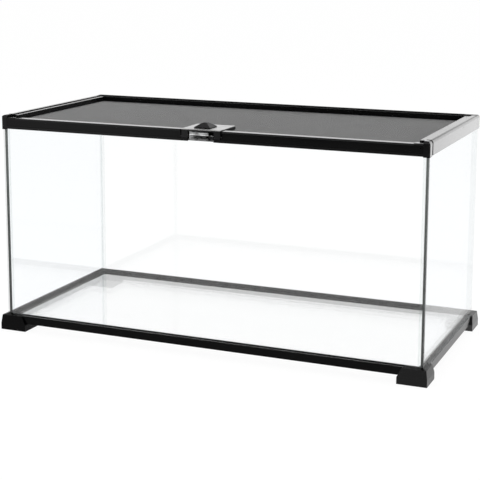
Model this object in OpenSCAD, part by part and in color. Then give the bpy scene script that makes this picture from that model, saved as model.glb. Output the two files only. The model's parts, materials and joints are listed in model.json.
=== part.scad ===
// Glass reptile terrarium with a sliding screen lid.
// Five glass panes stand in a moulded frame on four corner feet. The screen lid
// runs in grooves of the side rails, comes out to the front, and is locked by a
// sliding bolt in the middle of its front bar.
// Frame: +Z up, +X to the right, the front faces -Y. The origin is on the floor,
// at the middle of the tank. All sizes are in millimetres.

/* [Overall] */
// Width over the top frame, left to right
frame_w = 610; // [400:1:900]
// Depth over the top frame, front to back
frame_d = 280; // [220:1:460]
// Height from the floor to the top of the side rails
frame_h = 308; // [200:1:500]

/* [Glass] */
// Thickness of the wall panes
glass_t = 4; // [3:0.5:6]
// Thickness of the floor pane
floor_t = 5; // [3:0.5:6]
// Distance from the outer face of the top frame to the glass
glass_inset = 1.6; // [1.4:0.1:3]
// Thickness of the silicone between two wall panes
joint_t = 0.5; // [0.3:0.1:1]
// Width of the silicone bead in each upright corner
corner_bead = 4; // [2:0.5:6]
// Width of the silicone bead round the floor pane
floor_bead = 3; // [2:0.5:4]

/* [Top rails] */
// Height of the side and back rails
rail_h = 19; // [18:0.5:26]
// Thickness of the rail wall behind the glass
rail_back = 2.9; // [2:0.1:5]
// Width of the lip that overhangs the lid
lip_w = 8.5; // [6:0.5:14]
// Thickness of the lip and of its inner skirt
lip_t = 1.8; // [1.2:0.1:2.4]
// Radius of the rounded outer edge
rail_r = 4.2; // [2:0.1:6]
// Step from the outer part of a rail down to its lip
rail_step = 1.2; // [0.4:0.1:1.6]
// Height of the ledge that the lid slides on, above the bottom of the rail
ledge_h = 6.7; // [6.7:0.1:8.5]
// Thickness of the ledge
ledge_t = 2; // [1.5:0.1:3]
// Depth of the glass slot in the side and back rails
slot_h = 8; // [5:0.5:8.5]
// Depth of the glass slot in the low front rail
front_slot_h = 3.5; // [2.5:0.1:3.6]
// Thickness of the walls round the hollow of a rail
hollow_wall = 2; // [1.5:0.1:2.4]

/* [Top corners] */
// Depth of the front corner block, front to back
front_block_d = 11; // [8:0.5:20]
// Width of the shadow groove between the front corner block and the rail
groove_w = 4.5; // [2:0.5:8]
// Depth of the shadow groove
groove_d = 1.3; // [0.6:0.1:2]
// Leg of a back corner along the back
back_leg_x = 20; // [18:0.5:30]
// Leg of a back corner along the side
back_leg_y = 18; // [18:0.5:30]
// Length of the tongue that plugs into a rail
tongue_l = 18; // [10:1:30]
// How far the front corner block hangs below the rail
corner_drop = 1; // [0.5:0.1:2]

/* [Bottom frame] */
// Height of the underside of the bottom rails above the floor
base_z = 10.8; // [10:0.1:16]
// Height of the bottom rails
base_h = 11; // [9:0.5:16]
// How far the bottom rails stand out beyond the top frame
base_over = 2.5; // [1:0.1:3.5]
// Thickness of the outer wall and of the inner wall
base_wall = 2; // [1.5:0.1:2.5]
// Thickness of the web that the panes stand on
base_web = 2.5; // [1.5:0.1:3]
// Width of the ledge under the floor pane
floor_ledge = 5; // [3:0.1:12]

/* [Feet] */
// How far the feet stand out beyond the top frame
foot_over = 6; // [5:0.1:9]
// Foot size, left to right
foot_x = 39.5; // [34:0.5:60]
// Foot size, front to back
foot_y = 37; // [34:0.5:60]
// Height of the upright lower part of a foot
foot_low = 9; // [5:0.5:9.5]
// Height of the foot's outer shoulder
foot_shoulder = 21; // [20:0.1:27]
// Rise of the bevel from the shoulder to the glass
foot_bevel = 1.5; // [1:0.1:5]
// Taper of the two outer faces
foot_draft = 1.6; // [0.5:0.1:2]
// Taper of the two inner faces
foot_flare = 6; // [2:0.5:8]
// Wall of the hollow underside
foot_wall = 3; // [2:0.5:5]
// Length that a bottom rail reaches into a foot
foot_socket = 7; // [6:0.5:14]

/* [Lid] */
// Thickness of the lid's side and back bars
tray_t = 4; // [3.6:0.1:4.2]
// How far the lid's bars show inside the lip
tray_reveal = 1.5; // [0.5:0.1:4]
// Drop from the top of the rails to the top of the lid's front bar
bar_drop = 4; // [3:0.1:5]
// Depth of the tall part of the front bar, front to back
bar_d = 12; // [11:0.5:18]
// Radius of the front bar's upper front edge
bar_r = 2.5; // [1:0.1:4]
// Width of the end cap on the front bar
cap_w = 12; // [8:0.5:24]
// How far an end cap stands above the front bar
cap_rise = 0.8; // [0:0.1:1.5]
// Width of the spline groove
spline_w = 2.5; // [2:0.1:3]
// Depth of the spline groove
spline_d = 2.5; // [1.5:0.1:2.6]
// Travel of the lid to the front
lid_travel = 240; // [100:1:245]

/* [Screen] */
// Openings of the screen, left to right
screen_nx = 24; // [4:1:24]
// Openings of the screen, front to back
screen_ny = 12; // [4:1:12]
// Width of a strand
strand_w = 1; // [0.6:0.1:2]
// Thickness of the screen
screen_t = 0.8; // [0.5:0.1:1]

/* [Latch] */
// Width of the latch housing and of its cover plate
latch_w = 55; // [50:0.5:80]
// Depth of the latch housing, front to back
latch_d = 52; // [48:0.5:80]
// Gap between the housing and the front bar, on each side
latch_side_gap = 2; // [0.5:0.1:4]
// Width of a cheek beside the bolt
cheek_w = 9; // [6:0.5:10]
// Thickness of the cover plate
plate_t = 1; // [0.6:0.1:1.5]
// Width of the bolt's face
bolt_w = 27; // [24:0.5:30]
// Travel of the bolt to the right, from open to locked
bolt_travel = 5.5; // [5.5:0.1:6.5]
// Width of one finger of the bolt
finger_w = 4.5; // [3:0.1:5]
// Distance between the two fingers
finger_pitch = 13; // [12.5:0.1:14]
// Side of the thumb slide at its base
knob_base = 23; // [16:0.5:26]
// Side of the thumb slide at its top
knob_top = 8; // [6:0.5:12]
// Height of the thumb slide
knob_h = 6.3; // [4:0.1:10]
// Middle of the thumb slide behind the front of the lid
knob_u = 22; // [19:0.5:24]

/* [Clearances] */
// Gap round the lid in its grooves
slide_gap = 0.3; // [0.2:0.05:0.5]
// Gap beside the glass in a slot
glass_gap = 0.15; // [0.1:0.05:0.3]
// Gap between a plugged piece and its socket
plug_gap = 0.15; // [0.1:0.05:0.2]
// Gap at a visible butt joint
seam = 0.3; // [0.1:0.05:0.5]

/* [Hidden] */
$fn = 48;
// Reach of a cut past the face that it opens
cut = 1;
// Levels, measured from the floor
rail_z = frame_h - rail_h;
base_top = base_z + base_h;
pane_z = base_z + base_web + glass_gap;
floor_z = pane_z;
foot_top = foot_shoulder + foot_bevel;
// Places measured inwards from the outer face of the top frame
box_w = glass_inset + glass_t + rail_back;
rail_w = box_w + lip_w;
glass_in = glass_inset + glass_t;
slot_out = glass_inset - glass_gap;
slot_in = glass_in + glass_gap;
floor_wall = slot_in + base_wall;
// Heights measured from the underside of the top rails
lip_top = rail_h - rail_step;
tray_v = ledge_h + slide_gap;
tray_top = tray_v + tray_t;
skirt_v = tray_top + slide_gap + 0.1;
hollow_v = slot_h + 1.8;
bar_top = rail_h - bar_drop;
cap_top = bar_top + cap_rise;
lip_front_v = front_slot_h + 0.2;
screen_v = tray_top - 0.2 - screen_t;
groove_v = tray_top - spline_d;
// Lid places measured inwards from the outer face of the top frame
tray_out = box_w + slide_gap;
tray_in = rail_w + tray_reveal;
rebate_w = tray_in - tray_out - 2.7 - spline_w;
screen_side = tray_in - rebate_w;
flange_w = 0.6 + spline_w + 4.9;
screen_front = bar_d + 0.6 + spline_w;
cap_in = tray_out + cap_w;
// Latch places, heights from the underside of the top rails
notch_x = latch_w / 2 + latch_side_gap;
window_x = latch_w / 2 - cheek_w;
web_u = bar_d - 3;
apron_t = 1.3;
apron_gap = slot_out + 0.15 - apron_t;
face_u = 0.4;
plate_v = bar_top;
shelf_t = 1.4;
shelf_v = plate_v - shelf_t;
carrier_t = 0.9;
carrier_v = shelf_v - 0.2 - carrier_t;
base_v = tray_top + 0.2;
bolt_x = -bolt_travel / 2;
carrier_w = 12;
carrier_l = knob_u + 5;
neck = 6;
pin_r = 2;
strike_t = 1.8;
strike_w = 2 * window_x - 3;
strike_d = 9.5;
strike_u = slot_out + 0.15;
pin_l = strike_t + 1;
pocket_u0 = strike_u + 2.4;
pocket_u1 = strike_u + 5.4;
finger_gap = 0.5;
rivet_r = 1.2;
rivet_head_r = 2.2;
front_rivet_x = latch_w / 2 - 4;
back_rivet_x = 20;
front_rivet_u = web_u + 1.5;
back_rivet_u = latch_d - 6;
backing_t = 0.8;
backing_v = screen_v - 0.2 - backing_t;
backing_u = bar_d + flange_w + 1;

BLACK = "#17181a";
BRIGHT = "#c9ccd0";
CLEAR = [0.80, 0.90, 0.87, 0.35];
SEAL = [0.85, 0.88, 0.87, 0.6];
SCREEN = "#5c5d5f";
RUBBER = "#202022";

// ---- placing -------------------------------------------------------------

// Children drawn from the front left corner of the frame, inwards along +X and +Y
module at_corner(sx, sy) {
  translate([sx * frame_w / 2, sy * frame_d / 2, 0])
    mirror([sx > 0 ? 1 : 0, 0, 0])
      mirror([0, sy > 0 ? 1 : 0, 0])
        children();
}

// A profile (inwards, up) run along X on the front or back side
module run_x(side, x0, x1) {
  translate([x0, side * frame_d / 2, 0])
    mirror([0, side > 0 ? 1 : 0, 0])
      rotate([90, 0, 90])
        linear_extrude(x1 - x0)
          children();
}

// A profile (inwards, up) run along Y on the left or right side
module run_y(side, y0, y1) {
  translate([side * frame_w / 2, y1, 0])
    mirror([side > 0 ? 1 : 0, 0, 0])
      rotate([90, 0, 0])
        linear_extrude(y1 - y0)
          children();
}

// Children in latch coordinates: Y inwards from the front, Z from the rail's underside
module at_front() {
  translate([0, -frame_d / 2, rail_z])
    children();
}

// A block given by its two opposite corners
module block(low, high) {
  translate(low)
    cube(high - low);
}

// ---- glass and silicone ----------------------------------------------------

// A front or back pane, over the full width of the glass box
module wide_pane(side, top) {
  color(CLEAR)
    run_x(side, -frame_w / 2 + glass_inset, frame_w / 2 - glass_inset)
      translate([glass_inset, pane_z])
        square([glass_t, top - pane_z]);
}

// A side pane, between the front and back panes
module side_pane(side) {
  reach = frame_d / 2 - glass_in - joint_t;
  color(CLEAR)
    run_y(side, -reach, reach)
      translate([glass_inset, pane_z])
        square([glass_t, rail_z + slot_h - glass_gap - pane_z]);
}

module glass_front() {
  wide_pane(-1, rail_z + front_slot_h - glass_gap);
}

module glass_back() {
  wide_pane(1, rail_z + slot_h - glass_gap);
}

module glass_left() {
  side_pane(-1);
}

module glass_right() {
  side_pane(1);
}

module glass_floor() {
  edge = floor_wall + 0.2;
  color(CLEAR)
    block([edge - frame_w / 2, edge - frame_d / 2, floor_z],
          [frame_w / 2 - edge, frame_d / 2 - edge, floor_z + floor_t]);
}

// A concave bead in the corner of two faces, with blunt edges
module bead_profile(size) {
  edge = 0.5;
  difference() {
    square(size);
    translate([size, size])
      circle(size - edge);
  }
}

// The silicone between two panes and the bead in the corner inside them
module corner_seal(sx, sy) {
  low = base_top + 0.3;
  high = rail_z - corner_drop - 0.3;
  color(SEAL)
    at_corner(sx, sy)
      translate([0, 0, low])
        linear_extrude(high - low)
          union() {
            translate([glass_inset, glass_in])
              square([glass_t, joint_t]);
            translate([glass_in, glass_in])
              bead_profile(corner_bead);
          }
}

// The bead round the edge of the floor pane
module seal_floor() {
  reach_x = frame_w / 2 - floor_wall;
  reach_y = frame_d / 2 - floor_wall;
  color(SEAL)
    union() {
      for (side = [-1, 1]) {
        run_x(side, -reach_x, reach_x)
          translate([floor_wall, floor_z + floor_t])
            bead_profile(floor_bead);
        run_y(side, -reach_y, reach_y)
          translate([floor_wall, floor_z + floor_t])
            bead_profile(floor_bead);
      }
    }
}

// ---- top frame -------------------------------------------------------------

// A rectangle whose upper outer corner is rounded, cut back to its width
module shoulder(w, h, r) {
  difference() {
    union() {
      square([w, h - r]);
      translate([r, 0])
        square([w - r, h]);
      translate([r, h - r])
        circle(r);
    }
    if (2 * r > w) {
      translate([w, -cut])
        square([2 * r, h + 2 * cut]);
    }
  }
}

// The hollow that the corner tongues plug into, made smaller by a gap
module hollow(gap) {
  translate([hollow_wall + gap, hollow_v + gap])
    square([box_w - 2 * hollow_wall - 2 * gap, rail_h - 2.5 - hollow_v - 2 * gap]);
}

// The solid outline of a side or back rail: outer box, lip with skirt, and ledge
module rail_outline() {
  union() {
    shoulder(box_w, rail_h, rail_r);
    translate([hollow_wall + glass_t, lip_top - lip_t])
      square([rail_w - hollow_wall - glass_t, lip_t]);
    translate([rail_w - lip_t, skirt_v])
      square([lip_t, lip_top - skirt_v]);
    translate([hollow_wall + glass_t, ledge_h - ledge_t])
      square([rail_w - hollow_wall - glass_t, ledge_t]);
  }
}

module glass_slot(depth) {
  translate([slot_out, -corner_drop - cut])
    square([slot_in - slot_out, depth + corner_drop + cut]);
}

module rail_profile() {
  difference() {
    rail_outline();
    glass_slot(slot_h);
    hollow(0);
  }
}

module top_rail_back() {
  reach = frame_w / 2 - back_leg_x - seam;
  color(BLACK)
    translate([0, 0, rail_z])
      run_x(1, -reach, reach)
        rail_profile();
}

module side_rail(side) {
  front = front_block_d + groove_w - frame_d / 2;
  back = frame_d / 2 - back_leg_y - seam;
  color(BLACK)
    translate([0, 0, rail_z])
      run_y(side, front, back)
        rail_profile();
}

// The low front rail that the lid's front bar closes onto
module front_rail_profile() {
  difference() {
    square([box_w + 1.5, ledge_h]);
    glass_slot(front_slot_h);
    translate([-cut, lip_front_v])
      square([cut + strike_u, ledge_h]);
    translate([slot_in + base_wall, -cut])
      square([rail_w, ledge_h - ledge_t + cut]);
  }
}

module top_rail_front() {
  reach = frame_w / 2 - box_w;
  color(BLACK)
    difference() {
      translate([0, 0, rail_z])
        run_x(-1, -reach, reach)
          front_rail_profile();
      at_front()
        union() {
          block([-window_x, -cut, -cut], [window_x, slot_out + cut, lip_front_v + cut]);
          block([-strike_w / 2 - plug_gap, -cut, ledge_h - strike_t],
                [strike_w / 2 + plug_gap, strike_d + plug_gap, ledge_h + cut]);
          strike_rivet_holes(rivet_r + 0.05);
        }
    }
}

// The outer envelope of the top frame, rounded on every outer edge
module frame_envelope() {
  low = rail_z - corner_drop - cut;
  tall = rail_h + corner_drop + cut;
  round_r = 2;
  intersection() {
    translate([0, frame_d / 2, low])
      rotate([90, 0, 0])
        linear_extrude(frame_d)
          crown(frame_w, tall, rail_r);
    translate([-frame_w / 2, 0, low])
      rotate([90, 0, 90])
        linear_extrude(frame_w)
          crown(frame_d, tall, rail_r);
    translate([0, 0, low])
      linear_extrude(tall)
        union() {
          square([frame_w - 2 * round_r, frame_d], center = true);
          square([frame_w, frame_d - 2 * round_r], center = true);
          for (sx = [-1, 1]) {
            for (sy = [-1, 1]) {
              translate([sx * (frame_w / 2 - round_r), sy * (frame_d / 2 - round_r)])
                circle(round_r);
            }
          }
        }
  }
}

// A centred rectangle with both upper corners rounded
module crown(w, h, r) {
  union() {
    translate([-w / 2, 0])
      square([w, h - r]);
    translate([r - w / 2, 0])
      square([w - 2 * r, h]);
    for (s = [-1, 1]) {
      translate([s * (w / 2 - r), h - r])
        circle(r);
    }
  }
}

// A tongue that runs back along the side from the given place
module side_tongue(from, length) {
  translate([0, from + length, rail_z])
    rotate([90, 0, 0])
      linear_extrude(length)
        hollow(plug_gap);
}

// A tongue that runs along the back from the given place
module back_tongue(from, length) {
  translate([from, 0, rail_z])
    rotate([90, 0, 90])
      linear_extrude(length)
        hollow(plug_gap);
}

module front_corner(sx) {
  neck_end = front_block_d + groove_w;
  color(BLACK)
    intersection() {
      frame_envelope();
      at_corner(sx, -1)
        difference() {
          union() {
            translate([0, 0, rail_z])
              block([0, 0, -corner_drop], [box_w, front_block_d, rail_h]);
            translate([groove_d, neck_end, rail_z])
              rotate([90, 0, 0])
                linear_extrude(groove_w + cut)
                  shoulder(box_w - groove_d, rail_h - groove_d, rail_r - groove_d / 2);
            side_tongue(neck_end - cut, tongue_l + cut);
          }
          translate([0, 0, rail_z])
            union() {
              block([slot_out, slot_out, -corner_drop - cut], [box_w + cut, slot_in, front_slot_h]);
              block([slot_out, slot_in - cut, -corner_drop - cut],
                    [slot_in, neck_end + cut, slot_h]);
              block([slot_in + 1, slot_in + 1, -corner_drop - cut], [box_w + cut, neck_end, 0]);
            }
        }
    }
}

module back_corner(sx) {
  color(BLACK)
    union() {
      intersection() {
        frame_envelope();
        at_corner(sx, 1)
          difference() {
            union() {
              translate([0, back_leg_y, rail_z])
                rotate([90, 0, 0])
                  linear_extrude(back_leg_y)
                    rail_outline();
              translate([0, 0, rail_z])
                rotate([90, 0, 90])
                  linear_extrude(back_leg_x)
                    rail_outline();
            }
            translate([0, 0, rail_z])
              union() {
                block([slot_out, slot_out, -cut], [slot_in, back_leg_y + cut, slot_h]);
                block([slot_out, slot_out, -cut], [back_leg_x + cut, slot_in, slot_h]);
              }
          }
      }
      at_corner(sx, 1)
        side_tongue(back_leg_y - cut, tongue_l + cut);
      at_corner(sx, 1)
        back_tongue(back_leg_x - cut, tongue_l + cut);
    }
}

// ---- bottom frame and feet -------------------------------------------------

// The outline of a bottom rail without its glass slot
module base_outline(gap) {
  low = base_z - gap;
  union() {
    translate([-base_over - gap, low])
      square([base_over + floor_wall + 2 * gap, base_h + 2 * gap]);
    translate([-base_over - gap, low])
      square([base_over + floor_wall + floor_ledge + 2 * gap, base_web + 2 * gap]);
  }
}

// The pocket in a foot that a bottom rail lies in
module socket_outline() {
  union() {
    base_outline(plug_gap);
    translate([-base_over - plug_gap, base_z])
      square([base_over + floor_wall + 2 * plug_gap, foot_top + cut - base_z]);
  }
}

module base_profile() {
  difference() {
    base_outline(0);
    translate([slot_out, base_z + base_web])
      square([slot_in - slot_out, base_h]);
    translate([base_wall - base_over, base_z - cut])
      square([slot_out + base_over - 2 * base_wall + 0.8, base_h - base_wall + cut]);
  }
}

module wide_base_rail(side) {
  reach = frame_w / 2 + foot_over - foot_x + foot_socket;
  color(BLACK)
    run_x(side, -reach, reach)
      base_profile();
}

module side_base_rail(side) {
  reach = frame_d / 2 + foot_over - foot_y + foot_socket;
  color(BLACK)
    run_y(side, -reach, reach)
      base_profile();
}

// The side view of a foot, from its outer face inwards
module foot_outline(size) {
  inner = size - foot_over;
  polygon([
    [-foot_over, 0],
    [-foot_over, foot_low],
    [foot_draft - foot_over, foot_shoulder],
    [slot_out - 0.3, foot_top],
    [inner - foot_flare - 2, foot_top],
    [inner - foot_flare, foot_shoulder],
    [inner, foot_low],
    [inner, 0]
  ]);
}

module foot(sx, sy) {
  end_x = foot_x - foot_over;
  end_y = foot_y - foot_over;
  deep = base_z - 3.5;
  rib = 2;
  color(BLACK)
    at_corner(sx, sy)
      difference() {
        intersection() {
          translate([0, end_y, 0])
            rotate([90, 0, 0])
              linear_extrude(foot_y)
                foot_outline(foot_x);
          translate([-foot_over, 0, 0])
            rotate([90, 0, 90])
              linear_extrude(foot_x)
                foot_outline(foot_y);
        }
        // slots for the two wall panes
        block([slot_out, slot_out, base_z + base_web], [slot_in, end_y + cut, foot_top + cut]);
        block([slot_out, slot_out, base_z + base_web], [end_x + cut, slot_in, foot_top + cut]);
        // room for the floor pane inside the inner wall
        block([floor_wall, floor_wall, base_z + base_web],
              [end_x + cut, end_y + cut, foot_top + cut]);
        // inside the glass a foot is no higher than the bottom rails
        block([slot_out, slot_out, base_top], [end_x + cut, end_y + cut, foot_top + cut]);
        // sockets for the two bottom rails, open at the top
        translate([0, end_y + cut, 0])
          rotate([90, 0, 0])
            linear_extrude(foot_socket + cut)
              socket_outline();
        translate([end_x - foot_socket, 0, 0])
          rotate([90, 0, 90])
            linear_extrude(foot_socket + cut)
              socket_outline();
        // hollow underside with a cross of ribs
        for (i = [0, 1]) {
          for (j = [0, 1]) {
            cell_x = (foot_x - 2 * foot_wall - rib) / 2;
            cell_y = (foot_y - 2 * foot_wall - rib) / 2;
            translate([foot_wall - foot_over + i * (cell_x + rib),
                       foot_wall - foot_over + j * (cell_y + rib), -cut])
              cube([cell_x, cell_y, deep + cut]);
          }
        }
      }
}

// ---- lid -------------------------------------------------------------------

// A side or back bar: flat strip with a spline groove and a rebate for the screen
module tray_profile() {
  difference() {
    translate([tray_out, tray_v])
      square([tray_in - tray_out, tray_t]);
    translate([screen_side - spline_w, groove_v])
      square([spline_w, spline_d + cut]);
    translate([screen_side - cut, screen_v])
      square([rebate_w + 2 * cut, screen_t + cut]);
  }
}

module lid_bar_back() {
  reach = frame_w / 2 - tray_in;
  color(BLACK)
    translate([0, 0, rail_z])
      run_x(1, -reach, reach)
        tray_profile();
}

module lid_side_bar(side) {
  color(BLACK)
    translate([0, 0, rail_z])
      run_y(side, bar_d - frame_d / 2, frame_d / 2 - tray_in)
        tray_profile();
}

// The tall front bar with its skirt, hollow, low flange and spline groove
module front_bar_profile() {
  difference() {
    union() {
      translate([0, tray_v])
        shoulder(bar_d, bar_top - tray_v, bar_r);
      translate([0, lip_front_v + slide_gap])
        square([apron_t, tray_t]);
      translate([bar_d - cut, tray_v])
        square([flange_w + cut, tray_t]);
    }
    translate([screen_front - spline_w, groove_v])
      square([spline_w, spline_d + cut]);
    translate([screen_front - cut, screen_v])
      square([flange_w, screen_t + cut]);
    bar_hollow(0);
  }
}

// The hollow of the front bar, made smaller by a gap
module bar_hollow(gap) {
  translate([2 + gap, tray_v + 1.6 + gap])
    square([bar_d - 4 - 2 * gap, bar_top - tray_v - 3.4 - 2 * gap]);
}

module lid_bar_front() {
  reach = frame_w / 2 - cap_in;
  flare = 1.5;
  color(BLACK)
    difference() {
      union() {
        translate([0, 0, rail_z])
          run_x(-1, -reach, reach)
            front_bar_profile();
        // the low flange reaches under the caps' inner ends
        for (side = [-1, 1]) {
          translate([0, 0, rail_z])
            run_x(-1, side > 0 ? reach - cut : tray_in - frame_w / 2,
                  side > 0 ? frame_w / 2 - tray_in : cut - reach)
              flange_profile();
        }
      }
      at_front()
        union() {
          // the notch that holds the latch, flared at its front edges
          block([-notch_x, -cut, 0], [notch_x, web_u, rail_h]);
          block([-notch_x, web_u - cut, tray_top], [notch_x, bar_d + cut, rail_h]);
          linear_extrude(rail_h)
            polygon([
              [-notch_x - flare - cut, -cut],
              [-notch_x, flare],
              [notch_x, flare],
              [notch_x + flare + cut, -cut]
            ]);
          front_rivet_holes(rivet_r + 0.05, tray_v + 1, tray_top + cut);
        }
    }
}

// The low flange of the front bar by itself
module flange_profile() {
  difference() {
    translate([bar_d + 0.1, tray_v])
      square([flange_w - 0.1, tray_t]);
    translate([screen_front - spline_w, groove_v])
      square([spline_w, spline_d + cut]);
    translate([screen_front - cut, screen_v])
      square([flange_w, screen_t + cut]);
  }
}

// The end cap of the front bar, with a tongue in the bar's hollow
module lid_cap(sx) {
  color(BLACK)
    at_corner(sx, -1)
      translate([0, 0, rail_z])
        union() {
          translate([tray_out, 0, 0])
            rotate([90, 0, 90])
              linear_extrude(cap_w)
                union() {
                  translate([0, tray_v])
                    shoulder(bar_d, cap_top - tray_v, bar_r);
                  translate([0, lip_front_v + slide_gap])
                    square([apron_t, tray_t]);
                }
          translate([cap_in - cut, 0, 0])
            rotate([90, 0, 90])
              linear_extrude(tongue_l + cut)
                bar_hollow(plug_gap);
        }
}

// The square key that joins a side bar to the back bar
module lid_key(sx) {
  color(BLACK)
    at_corner(sx, 1)
      translate([0, 0, rail_z])
        difference() {
          block([tray_out, tray_out, tray_v], [tray_in, tray_in, tray_top]);
          block([screen_side - 0.05, screen_side - 0.05, screen_v],
                [tray_in + cut, tray_in + cut, tray_top + cut]);
        }
}

// The woven screen as a flat net
module lid_screen() {
  x1 = frame_w / 2 - screen_side;
  y0 = screen_front - frame_d / 2;
  y1 = frame_d / 2 - screen_side;
  pitch_x = (2 * x1 - strand_w) / screen_nx;
  pitch_y = (y1 - y0 - strand_w) / screen_ny;
  color(SCREEN)
    difference() {
      translate([0, 0, rail_z + screen_v])
        linear_extrude(screen_t)
          difference() {
            translate([-x1, y0])
              square([2 * x1, y1 - y0]);
            for (i = [0 : screen_nx - 1]) {
              for (j = [0 : screen_ny - 1]) {
                translate([strand_w - x1 + i * pitch_x, y0 + strand_w + j * pitch_y])
                  square([pitch_x - strand_w, pitch_y - strand_w]);
              }
            }
          }
      at_front()
        back_rivet_holes(rivet_r + 0.3, screen_v - cut, screen_v + screen_t + cut);
    }
}

// The rubber cords that hold the screen in the grooves
module screen_spline() {
  gap = 0.1;
  x1 = frame_w / 2 - tray_in;
  y0 = bar_d + flange_w - frame_d / 2;
  y1 = frame_d / 2 - tray_in;
  low = rail_z + groove_v + gap;
  high = rail_z + screen_v + screen_t;
  side_out = frame_w / 2 - screen_side + spline_w - gap;
  back_out = frame_d / 2 - screen_side + spline_w - gap;
  front_out = screen_front - spline_w + gap - frame_d / 2;
  thick = spline_w - 2 * gap;
  color(RUBBER)
    union() {
      for (side = [-1, 1]) {
        block([side > 0 ? side_out - thick : -side_out, y0, low],
              [side > 0 ? side_out : thick - side_out, y1, high]);
      }
      block([-x1, back_out - thick, low], [x1, back_out, high]);
      block([-x1, front_out, low], [x1, front_out + thick, high]);
    }
}

// ---- latch -----------------------------------------------------------------

module front_rivet_holes(r, low, high) {
  for (side = [-1, 1]) {
    translate([side * front_rivet_x, front_rivet_u, low])
      cylinder(r = r, h = high - low);
  }
}

module back_rivet_holes(r, low, high) {
  for (side = [-1, 1]) {
    translate([side * back_rivet_x, back_rivet_u, low])
      cylinder(r = r, h = high - low);
  }
}

module strike_rivet_holes(r) {
  for (side = [-1, 1]) {
    translate([side * (strike_w / 2 - 3), strike_d - 2.2, ledge_h - pin_l])
      cylinder(r = r, h = pin_l + cut);
  }
}

// The opening that the neck of the thumb slide moves in
module neck_slot(low, high) {
  reach = bolt_travel / 2 + neck / 2 + slide_gap;
  block([-reach, knob_u - neck / 2 - slide_gap, low], [reach, knob_u + neck / 2 + slide_gap, high]);
}

// The moulded housing: cheeks beside the bolt and a shelf under the cover plate
module latch_housing() {
  half = latch_w / 2;
  room = bolt_travel / 2 + carrier_w / 2 + 0.5;
  color(BLACK)
    at_front()
      difference() {
        union() {
          block([-half, face_u, shelf_v], [half, latch_d, plate_v]);
          block([-half, web_u - 0.2, base_v], [half, latch_d, plate_v]);
          for (side = [-1, 1]) {
            x0 = side > 0 ? window_x : -half;
            x1 = side > 0 ? half : -window_x;
            block([x0, face_u, tray_v + 0.2], [x1, web_u - 0.4, plate_v]);
            block([x0, face_u, lip_front_v + slide_gap], [x1, apron_t, plate_v]);
          }
        }
        block([-room, web_u - cut, base_v - cut], [room, carrier_l + 1, shelf_v]);
        neck_slot(base_v, plate_v + cut);
        front_rivet_holes(rivet_r + 0.05, base_v - cut, plate_v + cut);
        back_rivet_holes(rivet_r + 0.05, base_v - cut, plate_v + cut);
      }
}

// The bright cover plate, with rounded back corners
module latch_cover() {
  half = latch_w / 2;
  corner_r = 2;
  color(BRIGHT)
    at_front()
      difference() {
        translate([0, 0, plate_v])
          linear_extrude(plate_t)
            union() {
              translate([-half, face_u])
                square([latch_w, latch_d - corner_r - face_u]);
              translate([corner_r - half, face_u])
                square([latch_w - 2 * corner_r, latch_d - face_u]);
              for (side = [-1, 1]) {
                translate([side * (half - corner_r), latch_d - corner_r])
                  circle(corner_r);
              }
            }
        neck_slot(plate_v - cut, plate_v + plate_t + cut);
        front_rivet_holes(rivet_r + 0.05, plate_v - cut, plate_v + plate_t + cut);
        back_rivet_holes(rivet_r + 0.05, plate_v - cut, plate_v + plate_t + cut);
      }
}

// The strip under the screen that the back rivets clamp
module latch_backing() {
  color(BLACK)
    at_front()
      difference() {
        block([-latch_w / 2, backing_u, backing_v],
              [latch_w / 2, latch_d, backing_v + backing_t]);
        back_rivet_holes(rivet_r + 0.05, backing_v - cut, backing_v + backing_t + cut);
      }
}

module latch_rivets() {
  top = plate_v + plate_t;
  color(BRIGHT)
    at_front()
      union() {
        front_rivet_holes(rivet_r, tray_v + 1.2, top);
        back_rivet_holes(rivet_r, backing_v - 0.3, top);
        back_rivet_holes(rivet_head_r, backing_v - 0.8, backing_v);
      }
}

// The steel plate in the low front rail, cut so that the fingers pass or lock
module latch_strike() {
  channel = finger_w + 2 * finger_gap;
  color(BRIGHT)
    at_front()
      difference() {
        translate([0, 0, ledge_h - strike_t])
          linear_extrude(strike_t)
            difference() {
              translate([-strike_w / 2, strike_u])
                square([strike_w, strike_d - strike_u]);
              for (side = [-1, 1]) {
                translate([bolt_x + side * finger_pitch / 2 - channel / 2, pocket_u0])
                  square([channel + bolt_travel, pocket_u1 - pocket_u0]);
                translate([bolt_x + side * finger_pitch / 2 - channel / 2, strike_u - cut])
                  square([channel, pocket_u0 - strike_u + 2 * cut]);
              }
            }
        strike_rivet_holes(rivet_r + 0.05);
      }
}

module strike_rivets() {
  color(BRIGHT)
    at_front()
      for (side = [-1, 1]) {
        translate([side * (strike_w / 2 - 3), strike_d - 2.2, ledge_h - pin_l])
          cylinder(r = rivet_r, h = pin_l);
      }
}

// The face of the bolt in side view: a finger grip, hollow between two rounded lips
module bolt_profile() {
  low = 1.5;
  deep = web_u - 0.5;
  top = shelf_v - 0.2;
  difference() {
    union() {
      translate([face_u + 0.1, low])
        square([apron_t - face_u - 0.1, top - low]);
      translate([face_u + 0.1, tray_v + 0.2])
        square([deep - face_u - 0.1, top - tray_v - 0.2]);
    }
    translate([-1.2, tray_v + 2.8])
      circle(2.6);
  }
}

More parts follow.
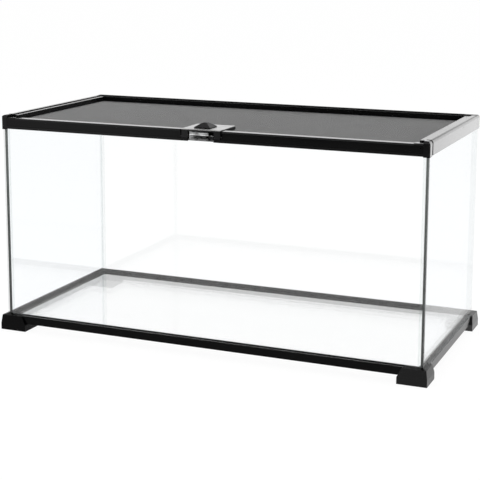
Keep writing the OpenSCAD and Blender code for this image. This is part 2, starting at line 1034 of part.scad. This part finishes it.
module latch_bolt() {
  finger_u0 = pocket_u0 + 0.3;
  finger_u1 = pocket_u1 - 0.3;
  color(BRIGHT)
    at_front()
      translate([bolt_x, 0, 0])
        difference() {
          union() {
            translate([-bolt_w / 2, 0, 0])
              rotate([90, 0, 90])
                linear_extrude(bolt_w)
                  bolt_profile();
            block([-carrier_w / 2, web_u - 2, carrier_v],
                  [carrier_w / 2, carrier_l, carrier_v + carrier_t]);
            for (side = [-1, 1]) {
              mid = side * finger_pitch / 2;
              block([mid - finger_w / 2, finger_u0, ledge_h - strike_t + 0.2],
                    [mid + finger_w / 2, finger_u1, tray_v + 1]);
            }
          }
          translate([0, knob_u, carrier_v - cut])
            cylinder(r = pin_r, h = carrier_t + 2 * cut);
        }
}

// The thumb slide: a four-sided slope with a ribbed top, a neck and a pin
module thumb_slide() {
  foot_h = 1;
  rib_r = 0.6;
  rib_step = 2.4;
  low = plate_v + plate_t + 0.2;
  color(BLACK)
    at_front()
      translate([bolt_x, knob_u, 0])
        union() {
          translate([0, 0, low])
            intersection() {
              translate([0, knob_base / 2, 0])
                rotate([90, 0, 0])
                  linear_extrude(knob_base)
                    knob_outline(foot_h, rib_r);
              translate([-knob_base / 2, 0, 0])
                rotate([90, 0, 90])
                  linear_extrude(knob_base)
                    knob_outline(foot_h, rib_r);
            }
          for (i = [-1 : 1]) {
            translate([i * rib_step, knob_top / 2, low + knob_h - rib_r])
              rotate([90, 0, 0])
                cylinder(r = rib_r, h = knob_top);
          }
          block([-neck / 2, -neck / 2, carrier_v + carrier_t], [neck / 2, neck / 2, low + foot_h]);
          translate([0, 0, carrier_v])
            cylinder(r = pin_r - 0.05, h = carrier_t + cut);
        }
}

// The side view of the thumb slide without its ribs
module knob_outline(foot_h, rib_r) {
  polygon([
    [-knob_base / 2, 0],
    [-knob_base / 2, foot_h],
    [-knob_top / 2, knob_h - rib_r],
    [knob_top / 2, knob_h - rib_r],
    [knob_base / 2, foot_h],
    [knob_base / 2, 0]
  ]);
}

glass_front();
glass_back();
glass_left();
glass_right();
glass_floor();
corner_seal(-1, -1);  // seal_front_left
corner_seal(1, -1);  // seal_front_right
corner_seal(-1, 1);  // seal_back_left
corner_seal(1, 1);  // seal_back_right
seal_floor();
top_rail_front();
top_rail_back();
side_rail(-1);  // top_rail_left
side_rail(1);  // top_rail_right
front_corner(-1);  // top_corner_front_left
front_corner(1);  // top_corner_front_right
back_corner(-1);  // top_corner_back_left
back_corner(1);  // top_corner_back_right
wide_base_rail(-1);  // base_rail_front
wide_base_rail(1);  // base_rail_back
side_base_rail(-1);  // base_rail_left
side_base_rail(1);  // base_rail_right
foot(-1, -1);  // foot_front_left
foot(1, -1);  // foot_front_right
foot(-1, 1);  // foot_back_left
foot(1, 1);  // foot_back_right
latch_strike();
strike_rivets();
lid_bar_front();
lid_bar_back();
lid_side_bar(-1);  // lid_bar_left
lid_side_bar(1);  // lid_bar_right
lid_cap(-1);  // lid_cap_left
lid_cap(1);  // lid_cap_right
lid_key(-1);  // lid_key_left
lid_key(1);  // lid_key_right
lid_screen();
screen_spline();
latch_housing();
latch_cover();
latch_backing();
latch_rivets();
latch_bolt();
thumb_slide();
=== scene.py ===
# %% [markdown]
# # A glass reptile terrarium
# The tank is a box of glass held by black mouldings, with four block feet and a screen lid that
# slides out to the front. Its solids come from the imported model, at their real size and place, so
# this lesson gives them their finishes and adds what a solid model leaves plain: the fine wire
# cloth of the lid, and the small dull marks where the plastic entered its moulds.

import math

import bmesh
import bpy
from mathutils import Matrix, Vector
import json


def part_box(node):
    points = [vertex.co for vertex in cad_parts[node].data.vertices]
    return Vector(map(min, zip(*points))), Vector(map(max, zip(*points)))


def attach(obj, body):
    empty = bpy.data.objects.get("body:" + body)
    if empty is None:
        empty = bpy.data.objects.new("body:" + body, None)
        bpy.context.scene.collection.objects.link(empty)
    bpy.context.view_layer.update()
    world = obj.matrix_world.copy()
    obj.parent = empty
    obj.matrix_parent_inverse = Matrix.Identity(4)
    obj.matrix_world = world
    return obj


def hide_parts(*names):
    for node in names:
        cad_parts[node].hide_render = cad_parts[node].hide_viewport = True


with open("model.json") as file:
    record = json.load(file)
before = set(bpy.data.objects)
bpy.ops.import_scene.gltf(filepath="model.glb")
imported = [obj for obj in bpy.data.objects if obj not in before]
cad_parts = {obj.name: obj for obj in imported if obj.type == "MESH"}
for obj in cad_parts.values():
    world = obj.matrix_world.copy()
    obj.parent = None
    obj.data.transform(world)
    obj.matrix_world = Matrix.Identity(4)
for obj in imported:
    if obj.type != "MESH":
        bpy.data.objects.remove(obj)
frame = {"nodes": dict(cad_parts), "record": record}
nodes = frame["nodes"]
slot_of = {part["node"]: part["material_slot"] for part in frame["record"]["subparts"]}
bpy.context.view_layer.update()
MM = 0.001

# %% [markdown]
# ## Camera
# The photograph was taken from the right of the front and a little above the lid. The picture's
# upright edges stay nearly parallel, which says that the camera was almost level and its lens was
# shifted down. Blender has the same control, so the camera looks along its own axis at a point
# near the lid, and shift_y moves the picture down by a sixth of its height.

# %% Camera
PICTURE = 480
AZIMUTH = math.radians(22.86)
ELEVATION = math.radians(9.51)
ROLL = math.radians(0.18)
DISTANCE = 1.7658
FOCAL_PIXELS = 1252.0
AXIS_ROW = 160
TARGET = Vector((-0.0031, 0.0, 0.2433))

back = Vector((
    math.sin(AZIMUTH) * math.cos(ELEVATION),
    -math.cos(AZIMUTH) * math.cos(ELEVATION),
    math.sin(ELEVATION),
))
lens = bpy.data.cameras.new("camera")
lens.sensor_width = 36.0
lens.lens = FOCAL_PIXELS / PICTURE * lens.sensor_width
lens.shift_y = (AXIS_ROW - PICTURE / 2) / PICTURE
lens.clip_end = 50
camera = bpy.data.objects.new("camera", lens)
turn = back.to_track_quat("Z", "Y").to_matrix().to_4x4()
stand = Matrix.Translation(TARGET + back * DISTANCE)
camera.matrix_world = stand @ turn @ Matrix.Rotation(ROLL, 4, "Z")
bpy.context.scene.collection.objects.link(camera)
bpy.context.scene.camera = camera
print("lens", round(lens.lens, 2), "shift", round(lens.shift_y, 4))

# %% [markdown]
# ## Shader maths
# A material's pattern is arithmetic on coordinates. Written as nodes one by one it is hard to
# read, so a small class wraps a socket and lets Python's own operators make the Math nodes. Any
# other node comes from one method, which sets the node's options first and its sockets after.

# %% Shader helpers
class Wire:
    """An output socket that arithmetic can be done on."""

    def __init__(self, maker, socket):
        self.maker = maker
        self.socket = socket

    def _math(self, operation, *values):
        return self.maker.node("ShaderNodeMath", {"operation": operation}, list(values))

    def __add__(self, other):
        return self._math("ADD", self, other)

    def __mul__(self, other):
        return self._math("MULTIPLY", self, other)

    def __sub__(self, other):
        return self._math("SUBTRACT", self, other)

    def __rsub__(self, other):
        return self._math("SUBTRACT", other, self)

    __radd__ = __add__
    __rmul__ = __mul__

    def power(self, exponent):
        return self._math("POWER", self, exponent)

    def above(self, level):
        """1 where the value is over the level, otherwise 0."""
        return self._math("GREATER_THAN", self, level)

    def limit(self, low, high):
        return self._math("MINIMUM", self._math("MAXIMUM", self, low), high)

    def swing(self, amount):
        """Turns a noise, which lies about 0.5, into a swing about 0."""
        return (self - 0.5) * amount


class Nodes:
    """The nodes of a material or a world, with one method that makes any node."""

    def __init__(self, data, output):
        self.data = data
        self.data.use_nodes = True
        self.tree = self.data.node_tree
        self.tree.nodes.clear()
        self.out = self.tree.nodes.new(output)

    def put(self, socket, value):
        if isinstance(value, Wire):
            self.tree.links.new(value.socket, socket)
        elif isinstance(value, (tuple, list)) and socket.type == "RGBA" and len(value) == 3:
            socket.default_value = (*value, 1.0)
        else:
            socket.default_value = value

    def node(self, kind, options=None, sockets=None, output=0):
        made = self.tree.nodes.new(kind)
        for key, value in (options or {}).items():
            if key == "stops":
                ramp = made.color_ramp
                while len(ramp.elements) < len(value):
                    ramp.elements.new(0.5)
                for element, (place, colour) in zip(ramp.elements, value):
                    element.position = place
                    element.color = (*colour, 1.0)
            else:
                setattr(made, key, value)
        pairs = enumerate(sockets) if isinstance(sockets, list) else (sockets or {}).items()
        for key, value in pairs:
            self.put(made.inputs[key], value)
        return Wire(self, made.outputs[output])

    def place(self):
        """Where a point is in the tank's own frame."""
        return self.node("ShaderNodeTexCoord", output="Object")

    def axes(self):
        """The X, Y and Z of a point as three values."""
        place = self.place()
        return {
            axis: self.node("ShaderNodeSeparateXYZ", {}, [place], output=axis) for axis in "XYZ"
        }

    def noise(self, scale, detail=3.0, stretch=(1, 1, 1)):
        """A noise about 0.5; scale is its waves per metre."""
        vector = self.node(
            "ShaderNodeMapping", {"vector_type": "POINT"},
            {"Vector": self.place(), "Scale": stretch},
        )
        return self.node(
            "ShaderNodeTexNoise", {}, {"Vector": vector, "Scale": scale, "Detail": detail},
        )

    def ramp(self, factor, *stops):
        return self.node("ShaderNodeValToRGB", {"stops": stops}, {"Fac": factor})

    def mix(self, factor, first, second):
        """Two colours; factor is how much of the second there is."""
        return self.node(
            "ShaderNodeMix", {"data_type": "RGBA"}, {0: factor, 6: first, 7: second}, output=2,
        )

    def blend(self, share, first, second):
        """Two shaders; share is how much of the second there is."""
        return self.node("ShaderNodeMixShader", {}, [share, first, second])

    def bump(self, height, distance):
        return self.node("ShaderNodeBump", {}, {"Height": height, "Distance": distance})

    def principled(self, **sockets):
        named = {key.replace("_", " "): value for key, value in sockets.items()}
        return self.node("ShaderNodeBsdfPrincipled", {}, named)

    def finish(self, shader):
        self.tree.links.new(shader.socket, self.out.inputs["Surface"])
        return self.data


class Material(Nodes):
    """A new material; colour is how a viewer without shaders shows it."""

    def __init__(self, name, colour):
        super().__init__(bpy.data.materials.new(name), "ShaderNodeOutputMaterial")
        self.data.diffuse_color = (*colour, 1.0)


def grey(level):
    return (level, level, level)


print("shader helpers ready")

# %% [markdown]
# ## Black mouldings
# The rails, corners and feet are moulded in black plastic with a fine, even grain. The grain is
# too small to see from a step away, but it decides how wide the highlights are: a bump of a few
# thousandths of a millimetre and a roughness that drifts a little do it. The colour is nearly black,
# and the sheen is a thin layer that only part of the surface has: the share is a mix between a
# matt and a shiny version of the same plastic, and it drifts where hands have polished it.

# %% Plastic
GATE_MARK_R = 0.9 * MM
SHEEN_LOST_BEHIND = 0.85


def plastic(
    name, base=0.0040, rough=0.20, gloss=0.90, specular=0.20, grain_mm=0.55, grain_depth_mm=0.006,
    mark=None, dull_from=None,
):
    """Black moulded plastic, which is the frame's own unless something else is given.

    gloss is the share of the surface that has a sheen, 0 to 1. mark is the middle of the small
    dull spot where the plastic entered the mould, and dull_from is the Y past which the piece is
    as dull as the back rail that it meets.
    """
    made = Material(name, grey(base))
    drift = made.noise(9.0, 4.0)
    grain = made.noise(1000.0 / grain_mm, 2.0)
    tone = made.mix(drift, grey(base * 0.7), (base * 1.2, base * 1.2, base * 1.3))
    roughness = drift.swing(0.12) + grain.swing(0.06) + rough
    normal = made.bump(grain, grain_depth_mm * MM)
    matt = made.principled(
        Base_Color=tone, Roughness=0.9, Specular_IOR_Level=0.0, Normal=normal,
    )
    sheen = made.principled(
        Base_Color=tone, Roughness=roughness.limit(0.08, 1.0), Specular_IOR_Level=specular,
        Normal=normal,
    )
    share = (drift.swing(0.2) + gloss).limit(0.0, 1.0)
    if mark:
        away = made.node(
            "ShaderNodeVectorMath", {"operation": "DISTANCE"}, [made.place(), mark], output="Value",
        )
        share = share * away.above(GATE_MARK_R)
    if dull_from:
        behind = made.axes()["Y"].above(dull_from)
        share = share * (1.0 - behind * SHEEN_LOST_BEHIND)
    return made.finish(made.blend(share, matt, sheen))


LID_FINISH = {
    "base": 0.0035, "rough": 0.17, "specular": 0.16, "grain_mm": 0.45, "grain_depth_mm": 0.003,
}
frame_plastic = plastic("frame_plastic")
dull_plastic = plastic("dull_plastic", rough=0.25, gloss=0.35)
latch_plastic = plastic("latch_plastic", base=0.0160, grain_mm=0.45, grain_depth_mm=0.003)
rail_mark = (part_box("top_rail_right")[1].x, 37 * MM, 302.7 * MM)
cap_mark = (293.2 * MM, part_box("lid_cap_right")[0].y, 299 * MM)
right_rail_plastic = plastic("right_rail_plastic", mark=rail_mark)
right_cap_plastic = plastic("right_cap_plastic", **LID_FINISH, mark=cap_mark)
back_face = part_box("top_corner_back_right")[1].y - 0.3 * MM
back_corner_plastic = plastic("back_corner_plastic", dull_from=back_face)
lid_plastic = plastic("lid_plastic", **LID_FINISH)
foot_plastic = plastic(
    "foot_plastic", base=0.0030, rough=0.26, gloss=0.85, specular=0.07,
    grain_mm=0.60, grain_depth_mm=0.010,
)
polished_foot = plastic("polished_foot", base=0.0030, rough=0.22, grain_mm=0.60)
polished_base = plastic("polished_base", base=0.0030, rough=0.22, specular=0.60, grain_mm=0.60)
print("plastics:", frame_plastic.name, dull_plastic.name, lid_plastic.name, foot_plastic.name)

# %% [markdown]
# ## Glass
# A thin flat pane hardly bends what stands behind it, so it is shaded as a see-through sheet with
# a mirror on both faces. The mirror's share grows as the face turns away, by Schlick's rule: 4 per
# cent straight on, and nearly all at a grazing angle. The floor pane lies over the white floor, and
# its share rises sooner. At the ends of a pane the glass is cut, and the light that runs along
# inside it leaves there. The cut edge is painted: its grey-green is the glass's own, but its
# darkness is painted shade, and it is painted lighter towards the top, where the light comes from.
# How much of the painted edge shows is set pane by pane, and per half of the tank. The cut edges
# are found from the pane's own size.

# %% Glass and silicone
def mirror_share(made, straight_on, rise):
    """How much of a clear face is mirror, by how far it is turned away."""
    facing = made.node("ShaderNodeLayerWeight", {}, {"Blend": 0.5}, output="Facing")
    return facing.power(rise) * (1.0 - straight_on) + straight_on


PANE_TOP = 0.29
MIRROR_STRAIGHT_ON = 0.04
CUT_SKIN = 0.02 * MM
# How much of the side panes' painted dark edge shows in their front half.
SIDE_EDGE_SHADE_SHOWS = 0.94


def cut_edge_painted_shade(made, z, smear):
    """Cut glass seen end on: the glass's own grey-green, darkened by painted shade, with a painted
    light that makes it lighter towards the top.
    """
    # Painted shade and light: the edge is dark at the bottom and painted lighter at the top, where
    # the light comes from.
    tone = made.ramp(
        z * (1.0 / PANE_TOP),
        (0.05, (0.010, 0.013, 0.012)), (0.5, (0.045, 0.055, 0.050)), (1.0, (0.14, 0.16, 0.15)),
    )
    return made.principled(Base_Color=tone, Roughness=smear * 0.2 + 0.2, Specular_IOR_Level=0.3)


def pane(name, tint, ends=None, reach=0.0, near=0.0, far=0.0, rise=5.0):
    """Clear glass. ends is the axis that runs out to the cut edges, and reach is how far out they
    lie. near and far are how much of the painted dark edge shows in the front and the back half of
    the tank.
    """
    made = Material(name, grey(0.9))
    smear = made.noise(14.0, 4.0)
    share = mirror_share(made, MIRROR_STRAIGHT_ON, rise) * (smear.swing(0.16) + 1.0)
    through = made.node("ShaderNodeBsdfTransparent", {}, {"Color": tint})
    mirror = made.principled(
        Base_Color=grey(1.0), Metallic=1.0, Roughness=(smear * 0.03).limit(0.0, 0.1),
    )
    sheet = made.blend(share.limit(0.0, 1.0), through, mirror)
    if ends is None:
        return made.finish(sheet)
    parts = made.axes()
    cut = (parts[ends] * parts[ends]).above((reach - CUT_SKIN) ** 2)
    front = (parts["Y"] * -1.0).above(0.0)
    # Painted shade: the dark cut edge is blended in by how much of it shows in the front and the
    # back half.
    strength = cut * (front * (near - far) + far)
    return made.finish(made.blend(strength, sheet, cut_edge_painted_shade(made, parts["Z"], smear)))


def sealant(name, inner_face):
    """Clear silicone. Past a side pane's inner face, in the front half, it lies against the glass's
    cut edge and is painted with that edge's dark shade.
    """
    made = Material(name, grey(0.8))
    parts = made.axes()
    # Painted shade: in the front half, past the side pane's inner face, the bead takes the cut
    # edge's painted dark.
    joint = (parts["X"] * parts["X"]).above(inner_face ** 2) * (parts["Y"] * -1.0).above(0.0)
    cloud = made.noise(60.0, 3.0)
    wave = made.noise(220.0, 2.0, (1, 1, 0.2))
    body = made.principled(
        Base_Color=made.mix(cloud, grey(0.62), grey(0.80)), Roughness=cloud * 0.2 + 0.3,
        Specular_IOR_Level=0.4, Normal=made.bump(wave, 0.1 * MM),
    )
    through = made.node("ShaderNodeBsdfTransparent", {}, {"Color": (0.97, 0.98, 0.98)})
    clear = made.blend(cloud.swing(0.06) + 0.05, through, body)
    edge = cut_edge_painted_shade(made, parts["Z"], cloud)
    return made.finish(made.blend(joint * SIDE_EDGE_SHADE_SHOWS, clear, edge))


CLEAR_TINT = (0.996, 0.998, 0.998)
SIDE_TINT = (0.980, 0.988, 0.994)
pane_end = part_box("glass_front")[1].x
side_low, side_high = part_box("glass_right")
# How strongly each pane's painted dark edge shows, in the front and the back half of the tank.
front_glass = pane("front_glass", CLEAR_TINT, "X", pane_end, near=0.15, far=0.15)
back_glass = pane("back_glass", CLEAR_TINT, "X", pane_end, near=0.03, far=0.03)
side_glass = pane("side_glass", SIDE_TINT, "Y", side_high.y, near=SIDE_EDGE_SHADE_SHOWS, far=0.03)
floor_glass = pane("floor_glass", CLEAR_TINT, rise=2.2)
silicone = sealant("silicone", side_low.x)
print("clear materials:", front_glass.name, back_glass.name, side_glass.name, silicone.name)

# %% [markdown]
# ## Metals
# The cover plate of the latch is brushed: fine scratches along one direction, made by a noise
# that is stretched along X, with smudges where thumbs have rubbed it. The bolt's face is polished,
# with broad darker patches. The strike plate under the lid is blued steel. The wire of the screen
# is coated black, but it is round and slightly shiny, so seen at a low angle the cloth looks
# mid-grey; that sheen is painted into the wire's colour, which is mid-grey instead of black.

# %% Metals and rubber
SCRATCH_SCALE = 900.0
SMUDGED_BELOW = 0.42
SMUDGE_CONTRAST = 3.2


def metal(name, colour, dark, rough, scratch_depth_mm, stretch, smudge_scale):
    """Brushed or polished metal. dark is the colour of its smudges and scratches."""
    made = Material(name, colour)
    scratches = made.noise(SCRATCH_SCALE, 3.0, stretch)
    drift = made.noise(smudge_scale, 3.0)
    clean = scratches.swing(0.9) + (drift - SMUDGED_BELOW) * SMUDGE_CONTRAST
    tone = made.mix(clean.limit(0.0, 1.0), dark, colour)
    roughness = scratches.swing(0.12) + drift.swing(0.10) + rough
    shader = made.principled(
        Base_Color=tone, Metallic=1.0, Roughness=roughness.limit(0.02, 1.0),
        Normal=made.bump(scratches, scratch_depth_mm * MM),
    )
    return made.finish(shader)


def rubber(name, base):
    """Matt black rubber, such as the cord that holds the cloth in its groove."""
    made = Material(name, grey(base))
    grain = made.noise(1500.0, 2.0)
    shader = made.principled(
        Base_Color=made.mix(grain, grey(base * 0.8), grey(base * 1.2)), Roughness=grain * 0.1 + 0.7,
        Normal=made.bump(grain, 0.02 * MM),
    )
    return made.finish(shader)


def wire_cloth(name, base):
    """Coated black wire with a painted sheen: its colour is as light as the whole cloth looks from a
    step away.
    """
    made = Material(name, grey(base))
    drift = made.noise(30.0, 3.0)
    shader = made.principled(
        Base_Color=made.mix(drift, grey(base * 0.9), grey(base * 1.1)),
        Roughness=drift.swing(0.1) + 0.45, Specular_IOR_Level=0.5,
    )
    return made.finish(shader)


latch_metal = metal(
    "latch_metal", colour=(0.86, 0.87, 0.88), dark=grey(0.20), rough=0.07,
    scratch_depth_mm=0.0015, stretch=(0.2, 1, 1), smudge_scale=70.0,
)
cover_metal = metal(
    "cover_metal", colour=(0.66, 0.66, 0.65), dark=grey(0.40), rough=0.24,
    scratch_depth_mm=0.004, stretch=(0.03, 1, 1), smudge_scale=45.0,
)
strike_metal = metal(
    "strike_metal", colour=(0.05, 0.052, 0.06), dark=grey(0.02), rough=0.35,
    scratch_depth_mm=0.004, stretch=(0.05, 1, 1), smudge_scale=80.0,
)
cord_rubber = rubber("cord_rubber", 0.02)
# The wire's mid-grey is a painted sheen on black coated wire.
screen_wire = wire_cloth("screen_wire", 0.25)
print("metals:", latch_metal.name, cover_metal.name, strike_metal.name, "cloth:", screen_wire.name)

# %% [markdown]
# ## Finishes on the solids
# Every solid keeps its shape, and only its material changes. The record names a slot for each
# node. Within a slot a few pieces get a variant of their own: the feet and bottom rails have a
# coarser grain, those on the right are polished, the back of the top frame is duller, two pieces on
# the right have a gate mark, and each pane has its own cut edges.

# %% Assign finishes
finish_of = {
    "frame_plastic": frame_plastic,
    "lid_plastic": lid_plastic,
    "clear_glass": side_glass,
    "silicone": silicone,
    "screen_wire": screen_wire,
    "latch_metal": latch_metal,
    "cover_metal": cover_metal,
    "cord_rubber": cord_rubber,
}
variant_of = {
    "glass_front": front_glass,
    "glass_back": back_glass,
    "glass_floor": floor_glass,
    "top_rail_back": dull_plastic,
    "top_corner_back_left": dull_plastic,
    "top_corner_back_right": back_corner_plastic,
    "top_rail_right": right_rail_plastic,
    "lid_cap_right": right_cap_plastic,
    "foot_front_right": polished_foot,
    "foot_back_right": polished_base,
    "base_rail_right": polished_base,
    "latch_housing": latch_plastic,
    "latch_strike": strike_metal,
    "strike_rivets": strike_metal,
}


def material_for(node):
    if node in variant_of:
        return variant_of[node]
    if node.startswith(("foot_", "base_rail_")):
        return foot_plastic
    return finish_of[slot_of[node]]


def dress(piece, material):
    piece.data.materials.clear()
    piece.data.materials.append(material)


def new_object(name, bm):
    """Makes an object at the origin from the faces in bm."""
    mesh = bpy.data.meshes.new(name)
    bm.to_mesh(mesh)
    bm.free()
    made = bpy.data.objects.new(name, mesh)
    bpy.context.scene.collection.objects.link(made)
    return made


for name, piece in nodes.items():
    dress(piece, material_for(name))
print("dressed", len(nodes), "solids")

# %% [markdown]
# ## Wire cloth
# The lid is closed by woven wire with a mesh of a little over a millimetre. Woven in full it would
# be a million faces, and from a step away the weave can't be seen, so straight wires are crossed
# and touch where they cross. One wire is a thin prism, and each layer is that prism copied along
# its pitch.

# %% Wire cloth
WIRE_R = 0.14 * MM
PITCH = 1.3 * MM
low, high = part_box("lid_screen")


def wires(bm, along, start, end, first, last, level):
    """Adds parallel wires. along is 0 for wires along X and 1 for wires along Y."""
    count = int((last - first) / PITCH)
    for i in range(count + 1):
        across = first + (last - first) * (i + 0.5) / (count + 1)
        made = bmesh.ops.create_cone(
            bm, cap_ends=True, segments=4, radius1=WIRE_R, radius2=WIRE_R, depth=end - start,
        )["verts"]
        middle = (start + end) / 2
        centre = (middle, across, level) if along == 0 else (across, middle, level)
        axis = "Y" if along == 0 else "X"
        quarter = Matrix.Rotation(math.pi / 2, 3, axis)
        bmesh.ops.rotate(bm, verts=made, cent=(0, 0, 0), matrix=quarter)
        bmesh.ops.translate(bm, verts=made, vec=centre)
    return count + 1


bm = bmesh.new()
middle_z = (low.z + high.z) / 2
count_y = wires(bm, 1, low.y, high.y, low.x, high.x, middle_z + WIRE_R)
count_x = wires(bm, 0, low.x, high.x, low.y, high.y, middle_z - WIRE_R)
cloth = new_object("wire_cloth", bm)
dress(cloth, screen_wire)
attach(cloth, "lid")
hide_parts("lid_screen")
print("wires along Y and X:", count_y, count_x, "faces:", len(cloth.data.polygons))

# %% [markdown]
# ## Studio
# The picture is a product shot on white: a white floor that runs into a white background, a large
# soft light above, which mirrors don't see, so bright metal keeps its tone, and a weaker one that
# fills in from the front. The floor gives back its own white to the camera and to mirrors and
# glass, and adds some of the lamps' light, so the shadows stay.
#
# Three things then shape the black plastic, as a photographer would. A strip light low behind the
# right side draws the bright face of the right rail. A broad pair behind the tank draws the line on
# the front bar and, with one of the two alone, a fainter one on the rails. A black flag in front,
# which only mirrors see, keeps the right half of the bar and of the bolt dark. The strip lights are
# linked to the pieces that they shape, so the glass doesn't show them. The flag is gone for a ray
# that has crossed a pane, so the floor pane doesn't mirror it to someone behind. Panes stand one
# behind another here, so a ray may cross many clear faces before it is given up.

# %% World
WORLD_AS_A_LIGHT = 0.55


def seen_directly(made):
    """1 for what the camera, a mirror or glass sees, and 0 for light that falls on a surface."""
    rays = [
        made.node("ShaderNodeLightPath", output=kind)
        for kind in ("Is Camera Ray", "Is Glossy Ray", "Is Transmission Ray")
    ]
    return (rays[0] + rays[1] + rays[2]).limit(0, 1)


studio = Nodes(bpy.data.worlds.new("studio"), "ShaderNodeOutputWorld")
bpy.context.scene.world = studio.data
strength = studio.node("ShaderNodeMix", {}, {0: seen_directly(studio), 2: WORLD_AS_A_LIGHT, 3: 1.0})
studio.finish(studio.node("ShaderNodeBackground", {}, {"Color": grey(1.0), "Strength": strength}))
print("world: white to the camera, glass and mirrors, dimmer as a light")

# %% Floor
def floor_material():
    made = Material("white_floor", grey(0.9))
    lit = made.node("ShaderNodeBsdfDiffuse", {}, {"Color": grey(0.12)})
    own = made.node("ShaderNodeEmission", {}, {"Color": grey(0.93), "Strength": 1.0})
    white = made.node("ShaderNodeAddShader", {}, [lit, own])
    plain = made.node("ShaderNodeBsdfDiffuse", {}, {"Color": grey(0.75)})
    return made.finish(made.blend(seen_directly(made), plain, white))


FLOOR_HALF = 30
bm = bmesh.new()
bmesh.ops.create_grid(bm, x_segments=1, y_segments=1, size=FLOOR_HALF)
floor = new_object("floor", bm)
dress(floor, floor_material())
print("floor made")

# %% Lamps
def panel(name, place, aim, width, height, watts):
    """A soft rectangular light that looks at a point."""
    data = bpy.data.lights.new(name, "AREA")
    data.shape = "RECTANGLE"
    data.size = width
    data.size_y = height
    data.energy = watts
    lamp = bpy.data.objects.new(name, data)
    look = (Vector(aim) - Vector(place)).to_track_quat("-Z", "Y").to_matrix().to_4x4()
    lamp.matrix_world = Matrix.Translation(place) @ look
    bpy.context.scene.collection.objects.link(lamp)
    return lamp


def shape_only(lamp, names):
    """Limits a lamp to the named pieces."""
    group = bpy.data.collections.new(lamp.name + "_pieces")
    for name in names:
        group.objects.link(nodes[name])
    lamp.light_linking.receiver_collection = group


lid_middle, tank_middle, right_rail = (0.0, 0.0, 0.3), (0.0, 0.0, 0.15), (0.305, 0.0, 0.28)
top_light = panel("top_light", (0.0, 0.5, 1.9), lid_middle, width=2.4, height=1.4, watts=13)
top_light.visible_glossy = False
panel("front_fill", (-1.0, -2.2, 1.6), tank_middle, width=1.4, height=1.0, watts=8)
frame_starts = ("top_", "foot_", "base_")
right_side = [
    name for name in nodes if name.endswith("_right") and name.startswith(frame_starts)
]
side_strip = panel(
    "side_strip", (0.78, 0.98, 0.34), right_rail, width=0.9, height=0.62, watts=3.8,
)
shape_only(side_strip, right_side + ["lid_cap_right"])
behind_tank = (-1.2, 2.6, 0.76)
front_bar = ["lid_bar_front", "lid_cap_left", "lid_cap_right"]
back_strip = panel("back_strip", behind_tank, lid_middle, width=3.2, height=1.0, watts=9)
shape_only(back_strip, front_bar + ["top_rail_right", "top_corner_front_right", "top_rail_left"])
bar_strip = panel("bar_strip", behind_tank, lid_middle, width=3.2, height=1.0, watts=45)
shape_only(bar_strip, front_bar)

# %% Flag
FLAG_Y = -0.87
FLAG_LEFT, FLAG_RIGHT = -0.358, 0.8
FLAG_LOW, FLAG_HIGH = 0.167, 0.50
corners = [
    (FLAG_LEFT, FLAG_LOW), (FLAG_RIGHT, FLAG_LOW),
    (FLAG_RIGHT, FLAG_HIGH), (FLAG_LEFT, FLAG_HIGH),
]
bm = bmesh.new()
bm.faces.new([bm.verts.new((x, FLAG_Y, z)) for x, z in corners])
flag = new_object("flag", bm)
black_cloth = Material("black_cloth", grey(0.005))
cloth_face = black_cloth.principled(
    Base_Color=grey(0.003), Roughness=1.0, Specular_IOR_Level=0.0,
)
panes_crossed = black_cloth.node("ShaderNodeLightPath", output="Transparent Depth")
gone = black_cloth.node("ShaderNodeBsdfTransparent", {}, {"Color": grey(1.0)})
dress(flag, black_cloth.finish(black_cloth.blend(panes_crossed.above(0.5), cloth_face, gone)))
flag.visible_camera = False
flag.visible_diffuse = False
flag.visible_transmission = False
flag.visible_shadow = False
print("flag made")

# %% Picture settings
MOST_CLEAR_FACES = 32
bpy.context.scene.view_settings.view_transform = "Standard"
bpy.context.scene.cycles.transparent_max_bounces = MOST_CLEAR_FACES
print("a ray may cross", MOST_CLEAR_FACES, "clear faces")

# %% Finish
import json
